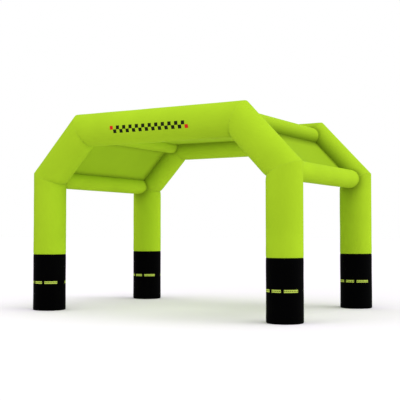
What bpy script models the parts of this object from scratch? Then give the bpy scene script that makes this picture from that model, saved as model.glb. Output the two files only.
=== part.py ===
# Inflatable event arch: two air-filled arches, one behind the other, that stand on four legs,
# four cross tubes between their corners and three cloth panels stretched between the tubes.
# Metres, +Z up, X across the arches, Y from the front arch (-Y) to the rear one.
# The origin is on the ground, at the middle of the four legs.

import math

import bmesh
import bpy
from mathutils import Matrix, Vector

# Driving dimensions
TUBE_RADIUS = 0.335      # arch tubes, inflated
CROSS_RADIUS = 0.195     # eave and ridge tubes, inflated
LEG_SPACING = 5.35       # X, between the axes of an arch's legs
RIDGE_SPACING = 3.55     # X, between the axes at an arch's top corners
ARCH_SPACING = 3.65      # Y, between the planes of the two arches
KNEE_HEIGHT = 2.725      # Z of the axis at the knee corners
RIDGE_HEIGHT = 3.675     # Z of the axis at the top corners
BASE_HEIGHT = 1.15       # Z of the seam between a black base and its leg

FOOT_ROUND = 0.025       # radius where a base's wall turns into its floor disc
SEAM_DRAW = 0.005        # how far a seam draws the tube's wall in
SEAM_REACH = 0.055       # how far from a seam the wall is back at its full radius
ROOF_SAG = 0.035         # the roof panel's sag at its middle
SLOPE_SAG = 0.018        # a slope panel's sag at its middle
SHEET_THICKNESS = 0.002

GAP = 0.0003             # between pieces that are sewn together
TUBE_SIDES = 40          # a multiple of 4, so that a tube's box is its full width
CROSS_SIDES = 32
SEAM_RINGS = (0.35, 1.0)             # rings beside a seam, as shares of SEAM_REACH
CROSS_RINGS = (-1.2, 0.35, 1.0)      # the same where a cross tube runs onto an arch's wall
FOOT_RING_DEGREES = (0, 30, 60, 90)  # rings round a base's lower edge
MERGE = 0.00001          # points this close are one
SHARP = math.radians(35)             # edges that bend more than this are shaded as edges
TUCK = 0.03              # how far a panel's blank runs into its tubes before it is trimmed
PANEL_CELLS = 12         # grid cells along each side of a panel's blank

GREEN = (0.372, 0.565, 0.021, 1.0)
PANEL_GREEN = (0.330, 0.520, 0.019, 1.0)
BLACK = (0.008, 0.008, 0.009, 1.0)
CLOTH_ROUGHNESS = 0.5

ACROSS = Vector((0, 1, 0))   # square to the plane of an arch


def clear_scene():
    for obj in list(bpy.data.objects):
        bpy.data.objects.remove(obj)


def new_collection(name, hidden=False):
    collection = bpy.data.collections.new(name)
    collection.hide_render = hidden
    bpy.context.scene.collection.children.link(collection)
    return collection


def cloth(name, color):
    material = bpy.data.materials.new(name)
    material.use_nodes = True
    shader = material.node_tree.nodes["Principled BSDF"]
    shader.inputs["Base Color"].default_value = color
    shader.inputs["Roughness"].default_value = CLOTH_ROUGHNESS
    shader.inputs["Metallic"].default_value = 0.0
    material.diffuse_color = color
    return material


def add_object(name, mesh, collection, material=None):
    obj = bpy.data.objects.new(name, mesh)
    if material:
        mesh.materials.append(material)
    collection.objects.link(obj)
    return obj


def as_cutter(obj):
    obj.hide_render = True
    obj.display_type = "WIRE"
    return obj


def cut(obj, cutters):
    for cutter in cutters:
        boolean = obj.modifiers.new("Cut " + cutter.name, "BOOLEAN")
        boolean.operation = "DIFFERENCE"
        boolean.solver = "EXACT"
        boolean.object = cutter


def slice_mesh(bm, point, normal, clear=False):
    # Cuts a ring of edges where the plane passes. With clear, what the normal points to goes.
    found = bmesh.ops.bisect_plane(
        bm, geom=bm.verts[:] + bm.edges[:] + bm.faces[:], dist=MERGE,
        plane_co=point, plane_no=normal, clear_outer=clear,
    )
    return [item for item in found["geom_cut"] if isinstance(item, bmesh.types.BMEdge)]


def finished_mesh(bm, name):
    mesh = bpy.data.meshes.new(name)
    bm.to_mesh(mesh)
    bm.free()
    mesh.shade_smooth()
    mesh.set_sharp_from_angle(angle=SHARP)
    return mesh


def tube_frame(start, direction):
    # A tube's own frame: its seam starts at the origin and its axis is local +Z.
    turn = Matrix((ACROSS, direction.cross(ACROSS), direction)).transposed()
    return Matrix.Translation(start) @ turn.to_4x4()


def seam_draw(distance):
    # 1 at the seam, 0 from SEAM_REACH on, with a soft end.
    share = min(max(distance / SEAM_REACH, 0.0), 1.0)
    return (1 - share) ** 2


def foot_inset(height):
    # How far the rounded lower edge of a base lies inside its wall.
    rest = FOOT_ROUND - min(height, FOOT_ROUND)
    return FOOT_ROUND - math.sqrt(FOOT_ROUND ** 2 - rest ** 2)


class Seam:
    # One end of a tube: the plane it is cut to, in the tube's frame, facing out of the tube.
    def __init__(self, point, normal, foot=False):
        self.point = point
        self.normal = normal
        self.foot = foot

    def rings(self):
        # How far inside the plane, along the tube, the extra rings lie.
        if self.foot:
            return [FOOT_ROUND * (1 - math.cos(math.radians(a))) for a in FOOT_RING_DEGREES[1:]]
        return [SEAM_REACH * share for share in SEAM_RINGS]

    def inset(self, co):
        # How far the wall lies inside the tube's full radius beside this end.
        distance = (self.point - co).dot(self.normal) / abs(self.normal.z)
        return foot_inset(max(distance, 0)) if self.foot else SEAM_DRAW * seam_draw(distance)

    def draw_in(self, co, radius):
        # Moves a point of the wall towards the axis, in its own plane along the seam.
        drawn = co.copy()
        drawn.x *= (radius - self.inset(co)) / radius
        drawn.y *= (radius - self.inset(co)) / radius
        drawn.z += (co - drawn).dot(self.normal) / self.normal.z
        return drawn


def inflated_tube(length, radius, seams, trim):
    # A cylinder along local +Z, cut to its two seam planes and drawn in beside them.
    # trim is how far each cut, but a foot's, lies inside its seam.
    bm = bmesh.new()
    spare = 2 * radius
    bmesh.ops.create_cone(
        bm, cap_ends=True, segments=TUBE_SIDES, radius1=radius, radius2=radius,
        depth=length + 2 * spare, matrix=Matrix.Translation((0, 0, length / 2)),
    )
    for seam in seams:
        along = Vector((0, 0, math.copysign(1, seam.normal.z)))
        cut_point = seam.point if seam.foot else seam.point - along * trim
        rim = slice_mesh(bm, cut_point, seam.normal, clear=True)
        bmesh.ops.edgenet_fill(bm, edges=rim)
        for depth in seam.rings():
            slice_mesh(bm, seam.point - along * depth, seam.normal)
    for vert in bm.verts:
        nearest = max(seams, key=lambda seam: seam.inset(vert.co))
        vert.co = nearest.draw_in(vert.co, radius)
    bmesh.ops.recalc_face_normals(bm, faces=bm.faces[:])
    return finished_mesh(bm, "tube")


def arch_corners(y):
    leg, ridge = LEG_SPACING / 2, RIDGE_SPACING / 2
    return [
        Vector((-leg, y, 0)),
        Vector((-leg, y, BASE_HEIGHT)),
        Vector((-leg, y, KNEE_HEIGHT)),
        Vector((-ridge, y, RIDGE_HEIGHT)),
        Vector((ridge, y, RIDGE_HEIGHT)),
        Vector((leg, y, KNEE_HEIGHT)),
        Vector((leg, y, BASE_HEIGHT)),
        Vector((leg, y, 0)),
    ]


ARCH_PIECES = (  # from the left foot over the top to the right foot
    "left_base", "left_leg", "left_shoulder", "top", "right_shoulder", "right_leg", "right_base",
)


def arch_tube(corners, index, radius, trim):
    # The mesh and the frame of one section of an arch.
    start, end = corners[index], corners[index + 1]
    direction = (end - start).normalized()
    frame = tube_frame(start, direction)
    to_local = frame.to_3x3().transposed()
    seams = []
    for corner, facing in ((index, -1), (index + 1, 1)):
        foot = corner in (0, len(corners) - 1)
        normal = direction
        if not foot:
            arriving = (corners[corner] - corners[corner - 1]).normalized()
            leaving = (corners[corner + 1] - corners[corner]).normalized()
            normal = (arriving + leaving).normalized()   # the mitre halves the bend
        point = frame.inverted() @ corners[corner]
        seams.append(Seam(point, to_local @ normal * facing, foot))
    return inflated_tube((end - start).length, radius, seams, trim), frame


def whole_arch_mesh(corners, radius):
    # The sections of an arch as one closed skin.
    bm = bmesh.new()
    for index in range(len(ARCH_PIECES)):
        mesh, frame = arch_tube(corners, index, radius, 0.0)
        mesh.transform(frame)
        bm.from_mesh(mesh)
        bpy.data.meshes.remove(mesh)
    inner_caps = [
        face for face in bm.faces
        if len(face.verts) == TUBE_SIDES and face.calc_center_median().z > FOOT_ROUND
    ]
    bmesh.ops.delete(bm, geom=inner_caps, context="FACES_ONLY")
    bmesh.ops.remove_doubles(bm, verts=bm.verts[:], dist=MERGE)
    return finished_mesh(bm, "whole_arch")


def build_arch(side, y, parts, helpers, materials):
    # Makes one arch. Returns its cutter, a seam gap larger than the pieces.
    corners = arch_corners(y)
    for index, piece in enumerate(ARCH_PIECES):
        material = materials["black" if piece.endswith("base") else "green"]
        mesh, frame = arch_tube(corners, index, TUBE_RADIUS, GAP / 2)
        add_object(side + "_" + piece, mesh, parts, material).matrix_world = frame
    whole = whole_arch_mesh(corners, TUBE_RADIUS + GAP)
    return as_cutter(add_object("cut_" + side + "_arch", whole, helpers))


def cross_tube_mesh(radius):
    # A level tube from one arch's axis to the other's, drawn in where it meets their walls.
    bm = bmesh.new()
    bmesh.ops.create_cone(
        bm, cap_ends=True, segments=CROSS_SIDES, radius1=radius, radius2=radius, depth=ARCH_SPACING
    )
    wall = ARCH_SPACING / 2 - TUBE_RADIUS
    for end in (-1, 1):
        for share in CROSS_RINGS:
            slice_mesh(bm, Vector((0, 0, end * (wall - share * SEAM_REACH))), Vector((0, 0, 1)))
    for vert in bm.verts:
        shrink = 1 - SEAM_DRAW * seam_draw(wall - abs(vert.co.z)) / radius
        vert.co.x *= shrink
        vert.co.y *= shrink
    return finished_mesh(bm, "cross_tube")


CROSS_TUBES = {  # name: X and Z of its axis, which runs from corner to corner
    "left_eave_tube": (-LEG_SPACING / 2, KNEE_HEIGHT),
    "left_ridge_tube": (-RIDGE_SPACING / 2, RIDGE_HEIGHT),
    "right_ridge_tube": (RIDGE_SPACING / 2, RIDGE_HEIGHT),
    "right_eave_tube": (LEG_SPACING / 2, KNEE_HEIGHT),
}


def build_cross_tubes(parts, helpers, materials, arch_cutters):
    # Returns the cross tubes' cutters, which trim the panels.
    level = Matrix.Rotation(math.radians(-90), 4, "X")   # local +Z to +Y
    cutters = {}
    for name, (x, z) in CROSS_TUBES.items():
        place = Matrix.Translation((x, 0, z)) @ level
        tube = add_object(name, cross_tube_mesh(CROSS_RADIUS), parts, materials["green"])
        tube.matrix_world = place
        cut(tube, arch_cutters)
        cutter = add_object("cut_" + name, cross_tube_mesh(CROSS_RADIUS + GAP), helpers)
        as_cutter(cutter).matrix_world = place
        cutters[name] = cutter
    return cutters


def panel_blank(width, sag):
    # A sagging sheet, a tuck larger all round than its opening. Local X runs across the arches.
    depth = ARCH_SPACING - 2 * TUBE_RADIUS
    bm = bmesh.new()
    bmesh.ops.create_grid(
        bm, x_segments=PANEL_CELLS, y_segments=PANEL_CELLS, size=0.5,
        matrix=Matrix.Diagonal((width + 2 * TUCK, depth + 2 * TUCK, 1, 1)),
    )
    for vert in bm.verts:
        across = min(abs(2 * vert.co.x / width), 1)
        along = min(abs(2 * vert.co.y / depth), 1)
        vert.co.z = -sag * math.cos(across * math.pi / 2) * math.cos(along * math.pi / 2)
    return finished_mesh(bm, "panel")


PANELS = {  # name: the two cross tubes that it runs between, and its sag
    "left_slope_panel": ("left_eave_tube", "left_ridge_tube", SLOPE_SAG),
    "roof_panel": ("left_ridge_tube", "right_ridge_tube", ROOF_SAG),
    "right_slope_panel": ("right_ridge_tube", "right_eave_tube", SLOPE_SAG),
}


def build_panels(parts, materials, arch_cutters, cross_cutters):
    for name, (first, second, sag) in PANELS.items():
        (x, z), (far_x, far_z) = CROSS_TUBES[first], CROSS_TUBES[second]
        span = Vector((far_x - x, 0, far_z - z))
        mesh = panel_blank(span.length - 2 * CROSS_RADIUS, sag)
        panel = add_object(name, mesh, parts, materials["panel"])
        direction = span.normalized()
        turn = Matrix((direction, ACROSS, direction.cross(ACROSS))).transposed()
        middle = Vector(((x + far_x) / 2, 0, (z + far_z) / 2))
        panel.matrix_world = Matrix.Translation(middle) @ turn.to_4x4()
        solidify = panel.modifiers.new("Thickness", "SOLIDIFY")
        solidify.thickness = SHEET_THICKNESS
        solidify.offset = 0
        cut(panel, arch_cutters + [cross_cutters[first], cross_cutters[second]])


def main():
    clear_scene()
    parts = new_collection("inflatable_arch")
    helpers = new_collection("cutters", hidden=True)
    materials = {
        "green": cloth("green_cloth", GREEN),
        "panel": cloth("panel_cloth", PANEL_GREEN),
        "black": cloth("black_cloth", BLACK),
    }
    half = ARCH_SPACING / 2
    arch_cutters = [
        build_arch("front", -half, parts, helpers, materials),
        build_arch("rear", half, parts, helpers, materials),
    ]
    cross_cutters = build_cross_tubes(parts, helpers, materials, arch_cutters)
    build_panels(parts, materials, arch_cutters, cross_cutters)


main()
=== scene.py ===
import math

import bmesh
import bpy
import numpy as np
from mathutils import Matrix, Vector


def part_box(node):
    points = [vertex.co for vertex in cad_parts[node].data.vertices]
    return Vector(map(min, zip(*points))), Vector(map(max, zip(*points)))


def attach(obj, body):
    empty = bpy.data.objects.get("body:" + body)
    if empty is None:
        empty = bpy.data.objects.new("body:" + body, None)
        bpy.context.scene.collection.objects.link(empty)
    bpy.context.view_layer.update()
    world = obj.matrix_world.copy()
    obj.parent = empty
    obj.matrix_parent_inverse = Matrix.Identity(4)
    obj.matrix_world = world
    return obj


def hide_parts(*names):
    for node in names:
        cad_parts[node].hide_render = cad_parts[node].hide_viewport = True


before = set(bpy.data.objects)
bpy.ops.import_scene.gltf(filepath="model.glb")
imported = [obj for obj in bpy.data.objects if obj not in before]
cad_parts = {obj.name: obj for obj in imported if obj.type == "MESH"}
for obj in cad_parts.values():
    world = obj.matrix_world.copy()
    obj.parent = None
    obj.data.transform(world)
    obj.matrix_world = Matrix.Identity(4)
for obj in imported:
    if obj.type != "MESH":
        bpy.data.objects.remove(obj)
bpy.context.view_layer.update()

# An inflatable event arch: two air-filled arches on four legs, four cross tubes between their corners
# and three cloth panels stretched between the tubes. Metres, +Z up, the front arch on the -Y side.

clothMap = "clothMap"          # every piece's own UV map, in metres round and along the cloth
seamMap = "seamDistance"       # its own attribute: how far a point is from the nearest sewing
pressMap = "seamPress"         # its own attribute: how hard that sewing is pressed in, 0 to 1
paintedShadeMap = "paintedCornerShade"         # its own attribute: painted shade, darkest deep in a corner between two pieces, 0 to 1

viewpoint = {
    "place": (9.020, -15.743, 1.574),   # a standing person's eye, before the arch and to its right
    "yaw": math.radians(30.13),         # turned from +Y towards -X
    "pitch": math.radians(2.245),       # tilted up
    "lens": 77.27,                      # mm
    "sensor": 36.0,                     # mm
}


def addCamera(made):
    turned = (math.pi / 2 + made["pitch"], 0, made["yaw"])
    bpy.ops.object.camera_add(location=made["place"], rotation=turned)
    camera = bpy.context.object
    camera.name = "camera"
    camera.data.lens = made["lens"]
    camera.data.sensor_width = made["sensor"]
    camera.data.clip_end = 500
    camera.data.dof.use_dof = False
    bpy.context.scene.camera = camera


addCamera(viewpoint)
print("camera stands")


def boxMiddle(node):
    low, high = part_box(node)
    return (low + high) / 2


def readSizes():
    # Every size comes from the frame, so that the pieces stand where the solids do.
    baseLow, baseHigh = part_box("front_left_base")
    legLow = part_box("front_left_leg")[0]
    eaveLow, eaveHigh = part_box("right_eave_tube")
    ridge = boxMiddle("right_ridge_tube")
    return {
        "tubeRadius": (baseHigh.y - baseLow.y) / 2,
        "crossRadius": (eaveHigh.z - eaveLow.z) / 2,
        "legX": -boxMiddle("front_left_base").x,
        "ridgeX": ridge.x,
        "archY": -boxMiddle("front_left_base").y,
        "seamZ": (baseHigh.z + legLow.z) / 2,     # between a black base and its leg
        "kneeZ": boxMiddle("right_eave_tube").z,
        "ridgeZ": ridge.z,
        "gap": legLow.z - baseHigh.z,             # between two sewn pieces
    }


sizes = readSizes()


def archCorners(y):
    # The axis of an arch's tube, from the left foot over the top to the right foot.
    half = [
        Vector((sizes["legX"], y, 0)),
        Vector((sizes["legX"], y, sizes["seamZ"])),
        Vector((sizes["legX"], y, sizes["kneeZ"])),
        Vector((sizes["ridgeX"], y, sizes["ridgeZ"])),
    ]
    return [Vector((-corner.x, y, corner.z)) for corner in half] + half[::-1]


def deselectAll():
    bpy.ops.object.select_all(action="DESELECT")


def startEditing(obj):
    deselectAll()
    obj.select_set(True)
    bpy.context.view_layer.objects.active = obj
    bpy.ops.object.mode_set(mode="EDIT")
    bpy.ops.mesh.select_mode(type="EDGE")
    bpy.ops.mesh.select_all(action="DESELECT")


def stopEditing():
    bpy.ops.object.mode_set(mode="OBJECT")
    deselectAll()


def selectLongEdges(obj, shortest):
    shell = bmesh.from_edit_mesh(obj.data)
    for edge in shell.edges:
        edge.select = edge.calc_length() > shortest
    shell.select_flush_mode()
    bmesh.update_edit_mesh(obj.data)


def ownCopy(obj, name):
    copied = obj.copy()
    copied.data = obj.data.copy()
    copied.name = name
    bpy.context.scene.collection.objects.link(copied)
    return copied


def readPoints(mesh):
    points = np.zeros(len(mesh.vertices) * 3)
    mesh.vertices.foreach_get("co", points)
    return points.reshape(-1, 3)


def writePoints(mesh, points):
    mesh.vertices.foreach_set("co", points.ravel())
    mesh.update()


def softStep(value):
    share = np.clip(value, 0, 1)
    return share * share * (3 - 2 * share)


def writePointValues(mesh, name, values):
    attribute = mesh.attributes.new(name, "FLOAT", "POINT")
    attribute.data.foreach_set("value", values.astype(np.float32))


def writeClothMap(mesh, across, along, turnLength, capPlaces):
    # One UV for each face corner. A face across the joining line takes its corners from one side of it.
    corners = np.zeros(len(mesh.loops), int)
    mesh.loops.foreach_get("vertex_index", corners)
    starts = np.zeros(len(mesh.polygons), int)
    counts = np.zeros(len(mesh.polygons), int)
    mesh.polygons.foreach_get("loop_start", starts)
    mesh.polygons.foreach_get("loop_total", counts)
    u, v = across[corners], along[corners]
    if turnLength:
        spread = np.maximum.reduceat(u, starts) - np.minimum.reduceat(u, starts)
        crossing = np.repeat(spread > turnLength / 2, counts)
        u = np.where(crossing & (u < 0), u + turnLength, u)
    if capPlaces is not None:
        inCap = np.repeat(counts > 4, counts)
        u = np.where(inCap, capPlaces[corners, 0], u)
        v = np.where(inCap, capPlaces[corners, 1], v)
    uvs = mesh.uv_layers.new(name=clothMap)
    uvs.data.foreach_set("uv", np.column_stack((u, v)).ravel().astype(np.float32))


def finishPiece(piece, node, material):
    deselectAll()
    piece.select_set(True)
    bpy.context.view_layer.objects.active = piece
    bpy.ops.object.shade_smooth_by_angle(angle=math.radians(40))
    deselectAll()
    piece.data.name = piece.name
    piece.data.materials.clear()
    piece.data.materials.append(material)
    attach(piece, "root")
    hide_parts(node)


def valueNode(tree, operation, first, second=0.0, third=0.0):
    # A Math node. Each input is a number or another node's output.
    node = tree.nodes.new("ShaderNodeMath")
    node.operation = operation
    for socket, given in zip(node.inputs, (first, second, third)):
        if isinstance(given, (int, float)):
            socket.default_value = given
        else:
            tree.links.new(given, socket)
    return node.outputs[0]


def rangeNode(tree, value, low, high, lowResult, highResult):
    node = tree.nodes.new("ShaderNodeMapRange")
    node.interpolation_type = "SMOOTHSTEP"
    given = {"From Min": low, "From Max": high, "To Min": lowResult, "To Max": highResult}
    for name, number in given.items():
        node.inputs[name].default_value = number
    tree.links.new(value, node.inputs["Value"])
    return node.outputs["Result"]


def mixNode(tree, factor, first, second):
    # Mixes two colours. The factor is an output or a number.
    node = tree.nodes.new("ShaderNodeMix")
    node.data_type = "RGBA"
    for index, given in ((0, factor), (6, first), (7, second)):
        socket = node.inputs[index]
        if isinstance(given, (int, float, tuple)):
            socket.default_value = given
        else:
            tree.links.new(given, socket)
    return node.outputs[2]


def between(tree, value, low, high):
    # 1 where low < value < high.
    above = valueNode(tree, "GREATER_THAN", value, low)
    below = valueNode(tree, "LESS_THAN", value, high)
    return valueNode(tree, "MULTIPLY", above, below)


def waveAcross(tree, value, pitch):
    # 0 to 1 and back once in each pitch.
    turned = valueNode(tree, "MULTIPLY", value, 2 * math.pi / pitch)
    return valueNode(tree, "MULTIPLY_ADD", valueNode(tree, "SINE", turned), 0.5, 0.5)


def noiseNode(tree, place, scale, detail):
    node = tree.nodes.new("ShaderNodeTexNoise")
    node.inputs["Scale"].default_value = scale
    node.inputs["Detail"].default_value = detail
    tree.links.new(place, node.inputs["Vector"])
    return node.outputs["Fac"]


sewing = {
    "rows": (0.005, 0.011),      # two rows of stitches beside a seam
    "threadWidth": 0.0016,
    "stitchPitch": 0.0080,
    "stitchShare": 0.62,         # of the pitch, the rest is the gap between stitches
    "foldWidth": 0.026,          # the folded seam allowance shows this far from the seam
    "foldTone": 0.6,
}


paintedShading = {
    # painted shade where pieces meet. Along a panel's edges, on its lower side and on its upper side: how
    # much in the very corner, and how far it reaches on an arch, on an eave tube, on a ridge tube and on the
    # panel itself
    "shares": (0.78, 1.0),
    "archReach": (0.135, 0.185),
    "eaveReach": (0.025, 0.070),
    "ridgeReach": (0.025, 0.155),
    "panelReach": (0.080, 0.170),
    "panelEndReach": 0.150,      # on the panel's lower side, along the arches
    "roofEnds": 0.45,            # along the ridge tubes it stays this near the roof's corners
    "upperFace": 0.325,          # painted shade all over the upper face of a panel
    "slopeFace": 0.12,           # painted shade all over the lower face of a slope panel
    "end": 0.78,                 # painted shade in the corner round a cross tube's end
    "endReach": 0.055,
    "endRun": 0.150,             # how much further a painted shadow reaches down a leg, right below the tube
    "crease": 0.13,              # painted shade in the creases of the mitres
    "creaseReach": 0.036,
    "fall": 1.35,                # how abruptly it ends at its reach
}


# How painted shade fades from a corner out to its reach.
def paintedCornerShade(distance, reach):
    return np.exp(-(np.maximum(distance, 0) / reach) ** paintedShading["fall"])


def paintedEdgeShade(distance, isUpper, reaches):
    lower, upper = [share * paintedCornerShade(distance, reach) for share, reach in zip(paintedShading["shares"], reaches)]
    return np.where(isUpper, upper, lower)


def attributeNode(tree, name):
    node = tree.nodes.new("ShaderNodeAttribute")
    node.attribute_name = name
    return node.outputs["Fac"]


def clothMaterial(name, finish, printed=None):
    # Coated plain-weave cloth. A print, if given, takes (tree, across, along, colour) and gives its colour.
    material = bpy.data.materials.new(name)
    material.use_nodes = True
    tree = material.node_tree
    shader = tree.nodes["Principled BSDF"]
    places = tree.nodes.new("ShaderNodeTexCoord").outputs["Object"]
    uvNode = tree.nodes.new("ShaderNodeUVMap")
    uvNode.uv_map = clothMap
    split = tree.nodes.new("ShaderNodeSeparateXYZ")
    tree.links.new(uvNode.outputs["UV"], split.inputs[0])
    across, along = split.outputs["X"], split.outputs["Y"]
    seam = attributeNode(tree, seamMap)
    press = attributeNode(tree, pressMap)

    # the coating is a little uneven, in broad soft patches and in fine grain
    patches = noiseNode(tree, places, finish["patchScale"], 3.0)
    grain = noiseNode(tree, places, finish["grainScale"], 2.0)
    low, high = finish["patchRange"]
    colour = mixNode(tree, rangeNode(tree, patches, low, high, 0.0, 1.0), finish["deep"], finish["colour"])
    if printed:
        colour = printed(tree, across, along, colour)

    # painted shade, darker in the corners where pieces meet, a little uneven with the coating's patches
    tone = rangeNode(tree, patches, low, high, 0.9 * finish["paintedShadeTone"], finish["paintedShadeTone"])
    paintedShade = valueNode(tree, "MULTIPLY", attributeNode(tree, paintedShadeMap), tone)
    colour = mixNode(tree, paintedShade, colour, finish["paintedShade"])

    # the folded allowance along a seam is pressed darker, and two rows of thread hold it
    fold = rangeNode(tree, seam, 0.0, sewing["foldWidth"], sewing["foldTone"], 0.0)
    colour = mixNode(tree, valueNode(tree, "MULTIPLY", fold, press), colour, finish["fold"])
    stitch = valueNode(tree, "DIVIDE", valueNode(tree, "ADD", across, along), sewing["stitchPitch"])
    dashes = valueNode(tree, "LESS_THAN", valueNode(tree, "FRACT", stitch), sewing["stitchShare"])
    rows = [valueNode(tree, "COMPARE", seam, row, sewing["threadWidth"] / 2) for row in sewing["rows"]]
    stitches = valueNode(tree, "MULTIPLY", valueNode(tree, "ADD", *rows), dashes)
    colour = mixNode(tree, stitches, colour, finish["thread"])
    tree.links.new(colour, shader.inputs["Base Color"])

    # weave, under the coating
    warp = waveAcross(tree, across, finish["weavePitch"])
    weft = waveAcross(tree, along, finish["weavePitch"])
    weave = valueNode(tree, "MULTIPLY", warp, weft)
    raised = valueNode(tree, "MULTIPLY_ADD", stitches, 3.0, weave)
    height = valueNode(tree, "MULTIPLY_ADD", grain, 1.5, raised)
    bump = tree.nodes.new("ShaderNodeBump")
    bump.inputs["Strength"].default_value = finish["bumpStrength"]
    bump.inputs["Distance"].default_value = finish["bumpDistance"]
    tree.links.new(height, bump.inputs["Height"])
    tree.links.new(bump.outputs["Normal"], shader.inputs["Normal"])

    rough = rangeNode(tree, patches, low, high, finish["roughness"][0], finish["roughness"][1])
    rough = valueNode(tree, "MULTIPLY_ADD", stitches, 0.2, rough)
    tree.links.new(rough, shader.inputs["Roughness"])
    shader.inputs["Specular IOR Level"].default_value = finish["specular"]
    material.diffuse_color = finish["colour"]
    return material


greenFinish = {
    "colour": (0.336, 0.522, 0.0176, 1),
    "deep": (0.317, 0.496, 0.0165, 1),
    "fold": (0.194, 0.312, 0.0076, 1),
    "thread": (0.346, 0.524, 0.036, 1),
    # the colour and strength of the painted shade in corners
    "paintedShade": (0.088, 0.146, 0.004, 1),
    "paintedShadeTone": 0.80,
    "roughness": (0.62, 0.70),
    "specular": 0.006,
    "patchScale": 1.6,
    "patchRange": (0.3, 0.7),    # of the noise, from one tone to the other
    "grainScale": 90.0,
    "weavePitch": 0.0024,
    "bumpStrength": 0.25,
    "bumpDistance": 0.0006,
}
panelFinish = dict(greenFinish, colour=(0.318, 0.500, 0.0170, 1), deep=(0.301, 0.477, 0.0160, 1))
blackFinish = dict(
    greenFinish,
    colour=(0.0008, 0.0008, 0.0009, 1),
    deep=(0.0005, 0.0005, 0.0006, 1),
    fold=(0.0004, 0.0004, 0.0004, 1),
    thread=(0.006, 0.006, 0.006, 1),
    paintedShade=(0.0006, 0.0006, 0.0006, 1),
    roughness=(0.50, 0.58),
    specular=0.006,
)

barPrint = {
    # Bars round a base, as (start, end) in degrees from -Y towards +X. The same row is on its other side.
    "bars": ((-72.0, -28.5), (-18.6, 12.4), (21.8, 67.6)),
    "height": 0.050,
    "centre": 0.0,                # from the middle of the base
    "dashHeight": 0.016,
    "dashPitch": 0.034,
    "dashShare": 0.62,
    "colour": (0.430, 0.545, 0.085, 1),
    "dashColour": (0.030, 0.045, 0.004, 1),
}


def printBars(tree, across, along, colour):
    half = math.pi * sizes["tubeRadius"]    # half a turn, after which the row repeats
    shifted = valueNode(tree, "ADD", valueNode(tree, "DIVIDE", across, half), 0.5)
    angle = valueNode(tree, "MULTIPLY_ADD", valueNode(tree, "FRACT", shifted), 180.0, -90.0)
    inBars, inDashes = [], []
    for start, end in barPrint["bars"]:
        inside = between(tree, angle, start, end)
        count = round(math.radians(end - start) * sizes["tubeRadius"] / barPrint["dashPitch"])
        place = valueNode(tree, "MULTIPLY", valueNode(tree, "SUBTRACT", angle, start), count / (end - start))
        marked = valueNode(tree, "COMPARE", valueNode(tree, "FRACT", place), 0.5, barPrint["dashShare"] / 2)
        inBars.append(inside)
        inDashes.append(valueNode(tree, "MULTIPLY", marked, inside))
    inBar = valueNode(tree, "ADD", valueNode(tree, "ADD", inBars[0], inBars[1]), inBars[2])
    dash = valueNode(tree, "ADD", valueNode(tree, "ADD", inDashes[0], inDashes[1]), inDashes[2])
    level = valueNode(tree, "ABSOLUTE", valueNode(tree, "SUBTRACT", along, barPrint["centre"]))
    bars = valueNode(tree, "MULTIPLY", inBar, valueNode(tree, "LESS_THAN", level, barPrint["height"] / 2))
    dash = valueNode(tree, "MULTIPLY", dash, valueNode(tree, "LESS_THAN", level, barPrint["dashHeight"] / 2))
    ink = mixNode(tree, dash, barPrint["colour"], barPrint["dashColour"])
    return mixNode(tree, bars, colour, ink)


chequerPrint = {
    "square": 0.074,
    "columns": 24,
    "rows": 2,
    "middle": -0.02,                   # X of the strip's middle
    "level": math.radians(-12.0),      # of the strip's middle, from the front line of the tube upwards
    "ink": (0.012, 0.014, 0.006, 1),
    "endInk": (0.52, 0.018, 0.014, 1),
}


def printChequers(tree, across, along, colour):
    made = chequerPrint
    halfLength = made["square"] * made["columns"] / 2
    halfHeight = made["square"] * made["rows"] / 2
    right = valueNode(tree, "SUBTRACT", along, made["middle"] - halfLength)
    up = valueNode(tree, "SUBTRACT", across, made["level"] * sizes["tubeRadius"] - halfHeight)
    column = valueNode(tree, "FLOOR", valueNode(tree, "DIVIDE", right, made["square"]))
    row = valueNode(tree, "FLOOR", valueNode(tree, "DIVIDE", up, made["square"]))
    odd = valueNode(tree, "MODULO", valueNode(tree, "ADD", valueNode(tree, "ADD", column, row), 100.0), 2.0)
    inside = valueNode(
        tree, "MULTIPLY", between(tree, right, 0.0, 2 * halfLength), between(tree, up, 0.0, 2 * halfHeight)
    )
    ended = valueNode(
        tree, "ADD", valueNode(tree, "LESS_THAN", column, 0.5),
        valueNode(tree, "GREATER_THAN", column, made["columns"] - 1.5),
    )
    ink = mixNode(tree, ended, made["ink"], made["endInk"])
    return mixNode(tree, valueNode(tree, "MULTIPLY", odd, inside), colour, ink)


materials = {
    "green": clothMaterial("greenCloth", greenFinish),
    "printedGreen": clothMaterial("printedGreenCloth", greenFinish, printChequers),
    "panel": clothMaterial("panelCloth", panelFinish),
    "black": clothMaterial("printedBlackCloth", blackFinish, printBars),
}
print("cloths are dyed")


# How inflated cloth draws in at its seams, puckers and swells.
seamShape = {
    "drawDepth": 0.005,          # a seam holds the wall this far in
    "drawReach": 0.055,
    "grooveDepth": 0.003,        # the sewn line itself lies deeper
    "grooveReach": 0.006,
    "levelPress": 0.25,          # how hard a level seam, a joining seam or a panel's edge is pressed in
}
shortPuckers = {"spacing": 0.082, "width": (0.016, 0.030), "length": (0.050, 0.130), "lean": 0.18}
longPulls = {"spacing": 0.270, "width": (0.030, 0.052), "length": (0.220, 0.620), "lean": 0.05}


def seamInset(distance, press, draw=1.0):
    share = np.clip(distance / seamShape["drawReach"], 0, 1)
    groove = seamShape["grooveDepth"] * np.exp(-(distance / seamShape["grooveReach"]) ** 2)
    return seamShape["drawDepth"] * (1 - share) ** 2 * draw + groove * press


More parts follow.
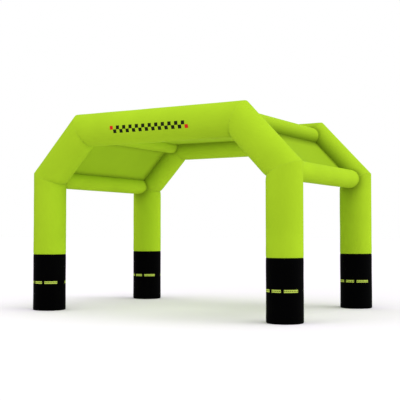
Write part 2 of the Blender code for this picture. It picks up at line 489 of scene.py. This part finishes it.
def makePuckers(kind, seed, radius):
    # The folds that a seam gathers, placed unevenly round a tube.
    draw = np.random.default_rng(seed)
    count = round(2 * math.pi * radius / kind["spacing"])
    return {
        "place": (np.arange(count) + draw.uniform(-0.35, 0.35, count)) * 2 * math.pi / count - math.pi,
        "width": draw.uniform(*kind["width"], count),
        "length": draw.uniform(*kind["length"], count),
        "depth": draw.uniform(0.35, 1.0, count),
        "lean": draw.uniform(-1, 1, count) * kind["lean"],
    }


def puckerInset(puckers, radius, angle, distance):
    # 0 to about 1: how deep in a fold each point lies.
    total = np.zeros_like(angle)
    for place, width, length, depth, lean in zip(*puckers.values()):
        apart = (angle - place + math.pi) % (2 * math.pi) - math.pi
        aside = (apart * radius - lean * distance) / (width * (1 + distance / (2 * length)))
        total += depth * np.exp(-aside ** 2) * np.exp(-(distance / length) ** 1.5)
    return total


def swelling(seed, angle, along):
    # -1 to 1: the slow unevenness of a long inflated wall.
    draw = np.random.default_rng(seed)
    total = np.zeros_like(angle)
    for turns in (1, 2, 3, 4):
        for _ in range(2):
            phase, pitch = draw.uniform(0, 2 * math.pi), draw.uniform(0.7, 1.9)
            total += np.sin(turns * angle + 2 * math.pi * along / pitch + phase) / turns
    return total / 3


panelHold = 0.050       # a panel holds a tube's wall out this far to each side of its edge


# The seven sections of each arch.
archTube = {
    "sides": 216,
    # how far the rings lie from a seam, and how far up from the ground
    "seamRings": (0, 0.003, 0.006, 0.010, 0.015, 0.021, 0.028, 0.037, 0.048, 0.062, 0.079, 0.099, 0.122),
    "footRings": (0, 0.0009, 0.0033, 0.0073, 0.0125, 0.0185, 0.025, 0.040, 0.065, 0.100),
    "middleRing": 0.045,         # between rings away from the seams
    "footRound": 0.025,
    "innerPucker": 0.0040,       # depth of a mitre seam's folds on the inner side of the bend
    "outerPucker": 0.0005,
    "straightPucker": 0.0012,    # depth of the folds along a level seam
    "pull": 0.0011,              # depth of the long pulls that run out of every seam
    "crease": 0.012,             # depth of the soft crease on the inner side of a bend
    "creaseReach": 0.042,
    "creaseFall": 1.6,           # how abruptly it ends at its reach
    "creaseStart": -0.05,        # where it begins, as the share of the way from the axis to the outer side
    "creaseFull": -0.92,         # and where it is deepest
    "innerPress": 0.20,          # how hard a mitre seam is pressed in, on the inner side of the bend
    "outerDraw": 0.15,           # it draws in less than others on the outer side
    "swell": 0.0014,
    "swellStart": 0.04,          # from a seam, where the swelling begins
    "swellFull": 0.35,
    "jointMargin": 0.012,        # round a cross tube's end, where the wall is held smooth
    "jointFade": 0.090,
}
sectionNames = ("left_base", "left_leg", "left_shoulder", "top", "right_shoulder", "right_leg", "right_base")


def mitreNormal(path, index):
    # Square to the plane in which two sections meet. It points along the arch's path.
    arriving = (path[index] - path[index - 1]).normalized()
    leaving = (path[index + 1] - path[index]).normalized()
    return (arriving + leaving).normalized()


def readSection(path, index):
    # One straight section: its frame, and how its two ends are cut.
    start, end = path[index], path[index + 1]
    axis = (end - start).normalized()
    outward = Vector((-axis.z, 0, axis.x))
    slants, normals = [], []
    for corner in (index, index + 1):
        isFoot = corner in (0, len(path) - 1)
        normal = axis if isFoot else mitreNormal(path, corner)
        normals.append(normal)
        slants.append(-outward.dot(normal) / axis.dot(normal))   # rise of the cut for each metre outwards
    return {
        "start": start, "end": end, "axis": axis, "outward": outward, "length": (end - start).length,
        "slants": slants, "normals": normals, "corners": (index, index + 1),
        "feet": (index == 0, index + 1 == len(path) - 1),
    }


def endRings(section, end):
    return archTube["footRings"] if section["feet"][end] else archTube["seamRings"]


def modelTube(section):
    # A straight cylinder, bisected along its two seam planes, with rings subdivided in and its ends closed.
    radius, gap = sizes["tubeRadius"], sizes["gap"]
    deselectAll()
    bpy.ops.mesh.primitive_cylinder_add(
        vertices=archTube["sides"], radius=radius, depth=section["length"] + 2 * radius,
        end_fill_type="NOTHING", location=(section["start"] + section["end"]) / 2,
        rotation=(0, math.atan2(section["axis"].x, section["axis"].z), 0),
    )
    tube = bpy.context.object
    bpy.ops.object.transform_apply(location=True, rotation=True, scale=True)
    startEditing(tube)
    for end, side in ((0, -1), (1, 1)):
        trim = 0 if section["feet"][end] else gap / 2
        corner = section["end"] if end else section["start"]
        bpy.ops.mesh.select_all(action="SELECT")
        bpy.ops.mesh.bisect(
            plane_co=corner - side * trim * section["axis"], plane_no=side * section["normals"][end],
            clear_outer=True,
        )
    selectLongEdges(tube, section["length"] / 3)
    startRings, stopRings = endRings(section, 0), endRings(section, 1)
    middle = section["length"] - startRings[-1] - stopRings[-1]
    spans = len(startRings) + len(stopRings) - 2 + round(middle / archTube["middleRing"])
    bpy.ops.mesh.subdivide(number_cuts=spans - 1)
    bpy.ops.mesh.select_all(action="SELECT")
    bpy.ops.mesh.fill_holes(sides=0)
    bpy.ops.mesh.select_all(action="SELECT")
    bpy.ops.mesh.normals_make_consistent(inside=False)
    stopEditing()
    tube["spans"] = spans
    return tube


def spreadRings(ring, spans, length, startRings, stopRings):
    # How far along its wall each point goes: rings crowd towards the two ends.
    startRings, stopRings = np.array(startRings), np.array(stopRings)
    first, last = len(startRings) - 1, spans - len(stopRings) + 1
    share = (ring - first) / (last - first)
    middle = startRings[-1] + (length - startRings[-1] - stopRings[-1]) * share
    nearStart = startRings[np.minimum(ring, first)]
    nearEnd = length - stopRings[np.minimum(spans - ring, len(stopRings) - 1)]
    along = np.where(ring < first, nearStart, np.where(ring > last, nearEnd, middle))
    return along, np.clip(share, 0, 1)


def footInset(height):
    rest = archTube["footRound"] - np.clip(height, 0, archTube["footRound"])
    return archTube["footRound"] - np.sqrt(archTube["footRound"] ** 2 - rest ** 2)


def heldByJoint(points, corner, facing):
    # 1 where a cross tube is sewn to the wall round this corner, 0 away from it.
    apart = np.hypot(points[:, 0] - corner.x, points[:, 2] - corner.z)
    near = 1 - softStep((apart - sizes["crossRadius"] - archTube["jointMargin"]) / archTube["jointFade"])
    return near * ((points[:, 1] - corner.y) * facing > 0)


def paintedArchShade(points, out, back, section, facing):
    # Painted shade in the corners round the ends of the cross tubes, and along the edge of the panel between
    # them.
    paintedShade = np.zeros(len(points))
    path = archCorners(section["start"].y)
    for corner in section["corners"]:
        if 2 <= corner <= 5:
            aside, above = points[:, 0] - path[corner].x, points[:, 2] - path[corner].z
            apart = np.hypot(aside, above)
            # a painted shadow reaches further down a leg, right below an eave tube's end
            below = softStep(-above / sizes["crossRadius"]) * np.exp(-(aside / sizes["crossRadius"]) ** 2)
            reach = paintedShading["endReach"] + paintedShading["endRun"] * below * (corner in (2, 5))
            paintedShade = np.maximum(paintedShade, paintedShading["end"] * paintedCornerShade(apart - sizes["crossRadius"], reach))
    if section["corners"][0] in (2, 3, 4):
        aside = sizes["tubeRadius"] * np.abs(np.arctan2(out, np.abs(back)))
        paintedShade = np.maximum(paintedShade, paintedEdgeShade(aside, out > 0, paintedShading["archReach"]))
    return paintedShade * (back * facing > 0)


def inflateTube(tube, section, archIndex):
    # Moves the wall's points: rings crowd at the seams, seams draw in and pucker, the wall swells a little.
    radius, gap = sizes["tubeRadius"], sizes["gap"]
    points = readPoints(tube.data)
    local = points - np.array(section["start"])
    axis, outward = np.array(section["axis"]), np.array(section["outward"])
    along, out, back = local @ axis, local @ outward, local[:, 1]
    cosine, sine = np.clip(out / radius, -1, 1), np.clip(back / radius, -1, 1)
    angle = np.arctan2(out, -back)             # 0 at the front line, half a turn at the rear one
    trims = [0 if foot else gap / 2 for foot in section["feet"]]
    startEdge = section["slants"][0] * out + trims[0]
    endEdge = section["length"] + section["slants"][1] * out - trims[1]
    length = endEdge - startEdge
    spans = tube["spans"]
    ring = np.rint((along - startEdge) / length * spans).astype(int)
    fromStart, share = spreadRings(ring, spans, length, endRings(section, 0), endRings(section, 1))
    fromEnds = (np.maximum(fromStart, 0), np.maximum(length - fromStart, 0))

    inset = np.zeros(len(points))
    held = np.zeros(len(points))
    facing = 1 if section["start"].y < 0 else -1
    for corner in section["corners"]:
        if 2 <= corner <= 5:
            held = np.maximum(held, heldByJoint(points, archCorners(section["start"].y)[corner], facing))
    if section["corners"][0] in (2, 3, 4):
        held = np.maximum(held, np.exp(-(out / panelHold) ** 2) * (back * facing > 0))
    bend = ((1 - cosine) / 2) ** 1.5           # 1 on the inner side of a bend, 0 on the outer one
    creaseSpan = archTube["creaseStart"] - archTube["creaseFull"]
    inner = softStep((archTube["creaseStart"] - cosine) / creaseSpan)
    presses = []
    paintedCreaseShade = np.zeros(len(points))
    for end in (0, 1):
        distance = fromEnds[end]
        if section["feet"][end]:
            inset += footInset(distance)
            continue
        seam = section["corners"][end]
        if abs(section["slants"][end]) < 1e-6:
            depth = archTube["straightPucker"]
            press, draw = np.full(len(points), seamShape["levelPress"]), 1.0
        else:
            depth = archTube["outerPucker"] + (archTube["innerPucker"] - archTube["outerPucker"]) * bend
            press = archTube["innerPress"] * inner * (1 - held)
            draw = archTube["outerDraw"] + (1 - archTube["outerDraw"]) * held
            crease = np.exp(-(distance / archTube["creaseReach"]) ** archTube["creaseFall"])
            inset += archTube["crease"] * inner * crease * (1 - held)
            # painted shade in the crease on the inner side of the bend
            paintedShadeHere = paintedShading["crease"] * inner * paintedCornerShade(distance, paintedShading["creaseReach"])
            paintedCreaseShade = np.maximum(paintedCreaseShade, paintedShadeHere)
        presses.append(press)
        puckers = makePuckers(shortPuckers, 100 * archIndex + seam, radius)
        pulls = makePuckers(longPulls, 100 * archIndex + 50 + seam, radius)
        folds = depth * puckerInset(puckers, radius, angle, distance)
        folds += archTube["pull"] * puckerInset(pulls, radius, angle, distance)
        inset += seamInset(distance, press, draw) + folds * (1 - held)
    swellSpan = archTube["swellFull"] - archTube["swellStart"]
    free = np.minimum(*[softStep((distance - archTube["swellStart"]) / swellSpan) for distance in fromEnds])
    swell = swelling(1000 + 10 * archIndex + section["corners"][0], angle, fromStart)
    inset += archTube["swell"] * (1 - swell) * free * (1 - held)

    wall = radius - inset
    startPlace = section["slants"][0] * cosine * wall + trims[0] + fromStart
    endPlace = section["length"] + section["slants"][1] * cosine * wall - trims[1] - fromEnds[1]
    place = startPlace * (1 - share) + endPlace * share
    moved = np.array(section["start"]) + np.outer(place, axis) + np.outer(wall * cosine, outward)
    moved[:, 1] += wall * sine
    writePoints(tube.data, moved)

    seams = [distance for distance, foot in zip(fromEnds, section["feet"]) if not foot]
    seams.append(radius * (math.pi - np.abs(angle)))   # the cloth's two edges are joined along the rear line
    presses.append(np.full(len(points), seamShape["levelPress"]))
    nearest = np.argmin(seams, axis=0)
    writePointValues(tube.data, seamMap, np.min(seams, axis=0))
    writePointValues(tube.data, pressMap, np.choose(nearest, presses))
    paintedShade = np.maximum(paintedArchShade(moved, out, back, section, facing), paintedCreaseShade)
    writePointValues(tube.data, paintedShadeMap, paintedShade)
    turned = angle
    if any(section["feet"]):                           # a base's print is set out from -Y towards +X
        turned = np.arctan2(moved[:, 0] - section["start"].x, -local[:, 1])
    writeClothMap(
        tube.data, turned * radius, place - section["length"] / 2, 2 * math.pi * radius,
        np.column_stack((out, back)),
    )


def buildArches():
    frontPath = archCorners(-sizes["archY"])
    blanks = [modelTube(readSection(frontPath, index)) for index in range(4)]
    for archIndex, (side, y) in enumerate((("front", -sizes["archY"]), ("rear", sizes["archY"]))):
        path = archCorners(y)
        for index, sectionName in enumerate(sectionNames):
            isRight = index > 3
            blank = blanks[6 - index if isRight else index]
            node = side + "_" + sectionName
            tube = ownCopy(blank, node + "_cloth")
            place = Matrix.Translation((0, y, 0))
            if isRight:
                place = place @ Matrix.Rotation(math.pi, 4, "Z")   # a left section, turned round
            tube.data.transform(place @ Matrix.Translation((0, sizes["archY"], 0)))
            inflateTube(tube, readSection(path, index), archIndex)
            if sectionName.endswith("base"):
                cloth, slot = materials["black"], "black_cloth"
            else:
                cloth, slot = materials["green"], "green_cloth"
            if node == "front_top":
                cloth = materials["printedGreen"]
            finishPiece(tube, node, cloth)
        print(side, "arch is inflated")
    for blank in blanks:
        bpy.data.objects.remove(blank)


buildArches()


# The four level tubes that hold the arches apart.
crossTube = {
    "sides": 144,
    "endRings": (0, 0.004, 0.008, 0.013, 0.019, 0.026, 0.035, 0.046, 0.060, 0.077, 0.098, 0.125),
    "middleRing": 0.045,
    "capRings": 9,
    "pucker": 0.0014,
    "swell": 0.0012,
    "swellStart": 0.04,          # from its ends, where the swelling begins
    "swellSpan": 0.30,
    "clearance": 0.0006,         # between its end and the arch's wall
    "press": 0.6,
}


def modelCrossTube():
    # A level cylinder from arch to arch. Its ends are fans, which get rings of their own.
    length = 2 * (sizes["archY"] - sizes["tubeRadius"])
    deselectAll()
    bpy.ops.mesh.primitive_cylinder_add(
        vertices=crossTube["sides"], radius=sizes["crossRadius"], depth=length,
        end_fill_type="TRIFAN", location=(0, 0, 0), rotation=(-math.pi / 2, 0, 0),
    )
    tube = bpy.context.object
    bpy.ops.object.transform_apply(location=True, rotation=True, scale=True)
    startEditing(tube)
    selectLongEdges(tube, length / 2)
    middle = length - 2 * crossTube["endRings"][-1]
    spans = 2 * (len(crossTube["endRings"]) - 1) + round(middle / crossTube["middleRing"])
    bpy.ops.mesh.subdivide(number_cuts=spans - 1)
    selectLongEdges(tube, 0.9 * sizes["crossRadius"])
    bpy.ops.mesh.subdivide(number_cuts=crossTube["capRings"])
    stopEditing()
    tube["spans"] = spans
    return tube


def wallDepth(x, z, path, index):
    # How far an arch's wall stands out from the arch's plane over the points (x, z) round a corner.
    here = path[index]
    arriving = (here - path[index - 1]).normalized()
    leaving = (path[index + 1] - here).normalized()
    normal = mitreNormal(path, index)
    dx, dz = x - here.x, z - here.z
    past = dx * normal.x + dz * normal.z
    depth = np.zeros_like(dx)
    for axis, chosen in ((arriving, past < 0), (leaving, past >= 0)):
        aside = dx * axis.z - dz * axis.x
        distance = np.abs(past) / axis.dot(normal)
        share = np.clip(distance / seamShape["drawReach"], 0, 1)
        radius = sizes["tubeRadius"] - seamShape["drawDepth"] * (1 - share) ** 2
        depth = np.where(chosen, np.sqrt(np.maximum(radius ** 2 - aside ** 2, 0)), depth)
    return depth


def panelLines(path, corner, angle):
    # The panels that a cross tube carries: where each leads, and the distance from it round the wall.
    found = []
    for other in (corner - 1, corner + 1):
        if 2 <= other <= 5:
            towards = path[other] - path[corner]
            aside = (angle - math.atan2(towards.x, -towards.z) + math.pi) % (2 * math.pi) - math.pi
            found.append((other, aside * sizes["crossRadius"]))
    return found


def inflateCrossTube(tube, corner, seed):
    radius = sizes["crossRadius"]
    path = archCorners(0)
    here = path[corner]
    points = readPoints(tube.data)
    length = 2 * (sizes["archY"] - sizes["tubeRadius"])
    side, down, along = points[:, 0], -points[:, 2], points[:, 1]
    angle = np.arctan2(side, down)              # 0 along the bottom, half a turn along the top
    radial = np.hypot(side, down) / radius      # under 1 in the end fans
    inFan = radial < 0.999
    spans = tube["spans"]
    ring = np.rint((along / length + 0.5) * spans).astype(int)
    puckers = [makePuckers(shortPuckers, seed + end, radius) for end in (0, 1)]

    def endPlace(wall):
        # |Y| of the tube's end, which follows the arch's wall
        x = here.x + wall * np.sin(angle)
        z = here.z - wall * np.cos(angle)
        return sizes["archY"] - wallDepth(x, z, path, corner) - crossTube["clearance"]

    rimFolds = [puckerInset(p, radius, angle, np.zeros(len(points))) for p in puckers]
    rims = [radius - seamInset(0.0, crossTube["press"]) - crossTube["pucker"] * folds for folds in rimFolds]
    edges = [endPlace(rim) for rim in rims]
    full = edges[0] + edges[1]
    fromStart, share = spreadRings(ring, spans, full, crossTube["endRings"], crossTube["endRings"])
    fromEnds = (np.maximum(fromStart, 0), np.maximum(full - fromStart, 0))
    inset = np.zeros(len(points))
    for end in (0, 1):
        folds = puckerInset(puckers[end], radius, angle, fromEnds[end])
        inset += seamInset(fromEnds[end], crossTube["press"]) + crossTube["pucker"] * folds
    begun = [(distance - crossTube["swellStart"]) / crossTube["swellSpan"] for distance in fromEnds]
    free = np.minimum(softStep(begun[0]), softStep(begun[1]))
    lines = panelLines(path, corner, angle)
    for _, aside in lines:
        free *= 1 - np.exp(-(aside / panelHold) ** 2)
    inset += crossTube["swell"] * (1 - swelling(seed + 7, angle, fromStart)) * free
    wall = radius - inset
    place = fromStart - edges[0]

    isRear = along > 0
    fanWall = np.where(isRear, rims[1], rims[0]) * radial
    fanPlace = endPlace(fanWall)
    wall = np.where(inFan, fanWall, wall)
    place = np.where(inFan, np.where(isRear, fanPlace, -fanPlace), place)
    moved = np.column_stack((here.x + wall * np.sin(angle), place, here.z - wall * np.cos(angle)))
    writePoints(tube.data, moved)
    joining = radius * (math.pi - np.abs(angle))      # along the top
    ends = np.minimum(*fromEnds)
    writePointValues(tube.data, seamMap, np.where(inFan, 0.0, np.minimum(ends, joining)))
    press = np.where(ends < joining, crossTube["press"], seamShape["levelPress"])
    writePointValues(tube.data, pressMap, press)
    # painted shade round its ends and beside the panels' edges
    paintedShade = paintedShading["end"] * paintedCornerShade(ends, paintedShading["endReach"])
    for other, aside in lines:
        isUpper = aside * (other - corner) > 0
        reaches = paintedShading["eaveReach"] if corner in (2, 5) else paintedShading["ridgeReach"]
        beside = paintedEdgeShade(np.abs(aside), isUpper, reaches)
        if {corner, other} == {3, 4}:
            beside *= np.exp(-(ends / paintedShading["roofEnds"]) ** 2)
        paintedShade = np.maximum(paintedShade, beside)
    writePointValues(tube.data, paintedShadeMap, paintedShade)
    writeClothMap(tube.data, angle * radius, place, 2 * math.pi * radius, None)


crossTubes = {"left_eave_tube": 2, "left_ridge_tube": 3, "right_ridge_tube": 4, "right_eave_tube": 5}


def buildCrossTubes():
    blank = modelCrossTube()
    for name, corner in crossTubes.items():
        tube = ownCopy(blank, name + "_cloth")
        inflateCrossTube(tube, corner, 400 + 10 * corner)
        finishPiece(tube, name, materials["green"])
    bpy.data.objects.remove(blank)
    print("cross tubes are inflated")


buildCrossTubes()


# The three panels of cloth between the tubes.
panelCloth = {
    "cell": 0.028,
    "thickness": 0.002,
    "tuck": 0.0004,              # how far its edges go into the tubes' walls
    "edgeWave": 0.0022,          # depth of the waves along a sewn edge
    "edgeReach": 0.075,
    "wavePitch": (0.095, 0.150),
    "edgeStill": 0.03,           # nearer than this to the sewing the waves die out
    "cornerFold": 0.0045,        # depth of the soft folds that run in from the corners
    "cornerReach": 0.55,
    "cornerStill": 0.12,         # nearer than this to the corner the folds die out
    "foldStill": 0.05,           # and nearer than this to the sewing
    "foldTurns": 9,              # folds in a whole turn round the corner
}
panels = {
    "left_slope_panel": ("left_eave_tube", "left_ridge_tube", 0.018),     # the last value is its sag
    "roof_panel": ("left_ridge_tube", "right_ridge_tube", 0.035),
    "right_slope_panel": ("right_ridge_tube", "right_eave_tube", 0.018),
}


def edgeWaves(draw, along, length):
    # Uneven small waves along an edge, -1 to 1.
    total = np.zeros_like(along)
    for _ in range(3):
        pitch = draw.uniform(*panelCloth["wavePitch"])
        phase = draw.uniform(0, 2 * math.pi)
        uneven = 0.6 + 0.4 * np.sin(5.3 * along / length + phase)
        total += np.sin(2 * math.pi * along / pitch + phase) * uneven
    return total / 2.2


# Painted shade all over a panel's upper face, darker still near its edges.
def paintShadeOnUpperFace(mesh):
    normals = np.zeros(len(mesh.vertices) * 3)
    mesh.vertex_normals.foreach_get("vector", normals)
    edge, paintedShade = np.zeros(len(mesh.vertices)), np.zeros(len(mesh.vertices))
    mesh.attributes[seamMap].data.foreach_get("value", edge)
    mesh.attributes[paintedShadeMap].data.foreach_get("value", paintedShade)
    paintedShadeHere = np.maximum(paintedEdgeShade(edge, True, paintedShading["panelReach"]), paintedShading["upperFace"])
    paintedShade = np.where(normals[2::3] > 0.3, paintedShadeHere, paintedShade)
    mesh.attributes[paintedShadeMap].data.foreach_set("value", paintedShade.astype(np.float32))


def stretchPanel(name, seed):
    first, second, sag = panels[name]
    start, end = boxMiddle(first), boxMiddle(second)
    across = (end - start).normalized()
    normal = Vector((-across.z, 0, across.x))
    middle = (start + end) / 2
    width = (end - start).length - 2 * (sizes["crossRadius"] - panelCloth["tuck"])
    depth = 2 * (sizes["archY"] - sizes["tubeRadius"] + panelCloth["tuck"])
    deselectAll()
    bpy.ops.mesh.primitive_grid_add(
        x_subdivisions=round(width / panelCloth["cell"]), y_subdivisions=round(depth / panelCloth["cell"]),
        size=1, location=middle, rotation=(0, -math.atan2(across.z, across.x), 0),
    )
    panel = bpy.context.object
    panel.name = name + "_cloth"
    panel.scale = (width, depth, 1)
    bpy.ops.object.transform_apply(location=True, rotation=True, scale=True)

    points = readPoints(panel.data)
    local = points - np.array(middle)
    x, y = local @ np.array(across), local[:, 1]
    edgeX, edgeY = width / 2 - np.abs(x), depth / 2 - np.abs(y)
    draw = np.random.default_rng(seed)
    lift = -sag * np.cos(math.pi * x / width) * np.cos(math.pi * y / depth)
    for edge, along, length, sign in ((edgeX, y, depth, x), (edgeY, x, width, y)):
        for side in (-1, 1):
            waves = edgeWaves(draw, along, length) * panelCloth["edgeWave"]
            near = np.exp(-edge / panelCloth["edgeReach"]) * softStep(edge / panelCloth["edgeStill"])
            lift += waves * near * (sign * side > 0)
    for sideX in (-1, 1):
        for sideY in (-1, 1):
            cornerX, cornerY = x - sideX * width / 2, y - sideY * depth / 2
            reach = np.hypot(cornerX, cornerY)
            turn = np.arctan2(np.abs(cornerY), np.abs(cornerX))
            folds = np.sin(panelCloth["foldTurns"] * turn + draw.uniform(0, 6))
            folds *= np.exp(-((turn - math.pi / 4) / 0.5) ** 2)
            rise = softStep(reach / panelCloth["cornerStill"])
            rise *= np.exp(-(reach / panelCloth["cornerReach"]) ** 2)
            rise *= softStep(np.minimum(edgeX, edgeY) / panelCloth["foldStill"])
            lift += panelCloth["cornerFold"] * folds * rise
    # a cross tube is drawn in beside the arches, and the panel's edge goes with it
    drawn = np.clip(1 - edgeY / seamShape["drawReach"], 0, 1) ** 2 * seamShape["drawDepth"]
    shift = drawn * np.sign(x) * (np.abs(x) / (width / 2)) ** 8
    points += np.outer(lift, np.array(normal)) + np.outer(shift, np.array(across))
    writePoints(panel.data, points)
    writePointValues(panel.data, seamMap, np.minimum(edgeX, edgeY))
    writePointValues(panel.data, pressMap, np.full(len(points), seamShape["levelPress"]))
    # painted shade along the panel's edges, over a slope panel's lower face and along the arches
    paintedShade = paintedEdgeShade(edgeX, False, paintedShading["panelReach"])
    if name == "roof_panel":
        paintedShade *= np.exp(-(edgeY / paintedShading["roofEnds"]) ** 2)
    else:
        paintedShade = np.maximum(paintedShade, paintedShading["slopeFace"])
    paintedShade = np.maximum(paintedShade, paintedShading["shares"][0] * paintedCornerShade(edgeY, paintedShading["panelEndReach"]))
    writePointValues(panel.data, paintedShadeMap, paintedShade)
    writeClothMap(panel.data, x, y, 0, None)
    solidify = panel.modifiers.new("thickness", "SOLIDIFY")
    solidify.thickness = panelCloth["thickness"]
    solidify.offset = 0
    bpy.context.view_layer.objects.active = panel
    bpy.ops.object.modifier_apply(modifier="thickness")
    paintShadeOnUpperFace(panel.data)
    finishPiece(panel, name, materials["panel"])


for number, panelName in enumerate(panels):
    stretchPanel(panelName, 700 + number)
print("panels are stretched")


studio = {
    "floorSize": 400.0,
    "floor": (0.825, 0.796, 0.845, 1),
    "sky": (1.0, 1.0, 1.0, 1),
    "skyStrength": 1.0,
    "spread": math.radians(45),                      # of each broad light, seen from the arch
    "broadLights": {                                 # (towards the light, strength)
        "sideLight": ((0.944, 0.320, 0.070), 1.58),
        "topLight": ((0.423, 0.0, 0.906), 0.70),
    },
    "frontLight": {"place": (0.0, -6.0, 8.0), "faced": (0.0, -1.0, 3.0), "side": 3.0, "watts": 97.0},
    "fillLight": {                                   # lifts the shade between the legs
        "place": (1.2, -1.0, 1.7), "faced": (-3.0, 1.0, 2.6), "radius": 1.0, "watts": 157.0,
        "cone": math.radians(160),
    },
}


def addLight(kind, name, place, towards):
    aim = Vector(towards).to_track_quat("Z", "Y").to_euler()
    bpy.ops.object.light_add(type=kind, location=place, rotation=aim)
    light = bpy.context.object
    light.name = name
    return light


def addStudio(made):
    deselectAll()
    bpy.ops.mesh.primitive_plane_add(size=made["floorSize"], location=(0, 0, 0))
    floor = bpy.context.object
    floor.name = "floor"
    paint = bpy.data.materials.new("floorPaint")
    paint.use_nodes = True
    paint.node_tree.nodes["Principled BSDF"].inputs["Base Color"].default_value = made["floor"]
    paint.node_tree.nodes["Principled BSDF"].inputs["Roughness"].default_value = 0.9
    paint.node_tree.nodes["Principled BSDF"].inputs["Specular IOR Level"].default_value = 0.0
    floor.data.materials.append(paint)
    sky = bpy.data.worlds.new("sky")
    sky.use_nodes = True
    sky.node_tree.nodes["Background"].inputs["Color"].default_value = made["sky"]
    sky.node_tree.nodes["Background"].inputs["Strength"].default_value = made["skyStrength"]
    bpy.context.scene.world = sky
    for name, (towards, strength) in made["broadLights"].items():
        light = addLight("SUN", name, Vector(towards) * 12, towards)
        light.data.energy = strength
        light.data.angle = made["spread"]
    for name, kind in (("frontLight", "AREA"), ("fillLight", "SPOT")):
        given = made[name]
        light = addLight(kind, name, given["place"], Vector(given["place"]) - Vector(given["faced"]))
        light.data.energy = given["watts"]
        light.visible_camera = False
        if kind == "AREA":
            light.data.size = given["side"]
        else:
            light.data.shadow_soft_size = given["radius"]
            light.data.spot_size = given["cone"]
            light.data.spot_blend = 1.0
    bpy.context.scene.view_settings.view_transform = "Standard"


addStudio(studio)
print("floor and light stand")
